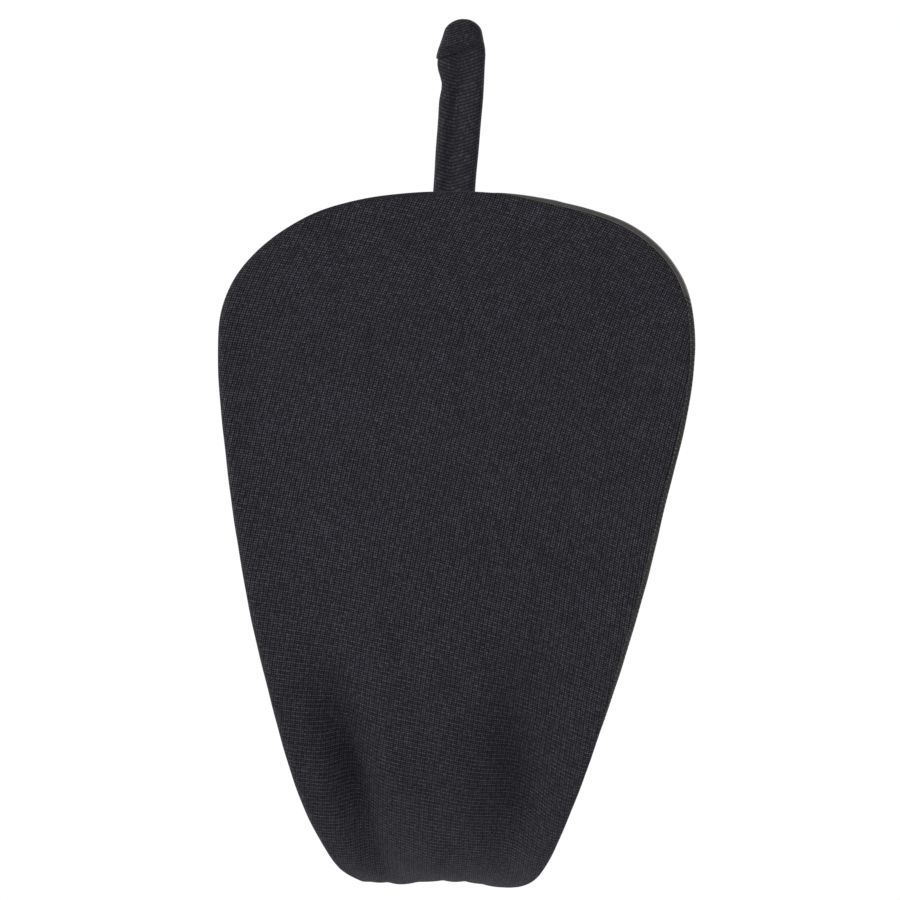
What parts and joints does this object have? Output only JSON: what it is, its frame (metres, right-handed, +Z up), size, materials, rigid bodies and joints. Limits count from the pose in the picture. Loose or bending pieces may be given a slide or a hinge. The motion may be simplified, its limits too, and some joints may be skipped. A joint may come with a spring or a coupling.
{
  "type": "sideless c-shaped brief",
  "caption": "Sideless C-shaped brief: a stretch-knit front panel on a sprung wire loop, with a narrow back strap that ends in a soft rounded tip.",
  "frame": {"origin": "on the gusset's inner face, in the middle, at the lowest point of the bend, where the wearer's weight rests", "axes": "+Z up as worn, +Y from the front panel towards the back strap, +X across, to the right as seen from the front"},
  "size_m": [0.1148, 0.1072, 0.2213],
  "materials": {
    "knit": "matte fine-gauge stretch knit",
    "lining": "matte fine-gauge stretch knit",
    "cotton": "matte cotton jersey",
    "binding": "smooth elastic binding",
    "thread": "spun polyester thread",
    "spring_wire": "drawn spring wire",
    "ferrule": "crimped",
    "sleeve": "extruded flexible tube",
    "tip_pad": "moulded soft"
  },
  "bodies": {
    "front": {"front_shell": "knit", "front_lining": "lining", "gusset_liner": "cotton", "gusset_seam_thread": "thread", "top_binding": "binding", "left_hem": "knit", "right_hem": "knit", "right_edge_thread": "thread", "left_edge_thread": "thread", "wire_left": "spring_wire", "wire_right": "spring_wire", "wire_ferrule": "ferrule", "sleeve_left": "sleeve", "sleeve_right": "sleeve"},
    "under_bend": {"rear_shell": "knit", "gusset_liner_rear": "cotton", "left_hem_rear": "knit", "right_hem_rear": "knit", "seam_tack": "thread", "wire_bend_left": "spring_wire", "wire_bend_right": "spring_wire", "sleeve_bend_left": "sleeve", "sleeve_bend_right": "sleeve", "strap_cover_lower": "knit"},
    "strap": {"strap_cover": "knit", "wire_strap": "spring_wire", "sleeve_strap_left": "sleeve", "sleeve_strap_right": "sleeve", "tip_cap": "knit", "tip_pad": "tip_pad"}
  },
  "joints": [
    {"name": "bend_flex", "type": "hinge", "parent": "front", "child": "under_bend", "pos_m": [0, 0.00954, 0.00061], "axis": [-1, 0, 0], "range_deg": [-5, 20], "stiffness_Nm_per_rad": 0.8},
    {"name": "strap_flex", "type": "hinge", "parent": "under_bend", "child": "strap", "pos_m": [0, 0.0327, 0.06135], "axis": [-1, 0, 0], "range_deg": [-5, 18], "stiffness_Nm_per_rad": 0.6}
  ]
}
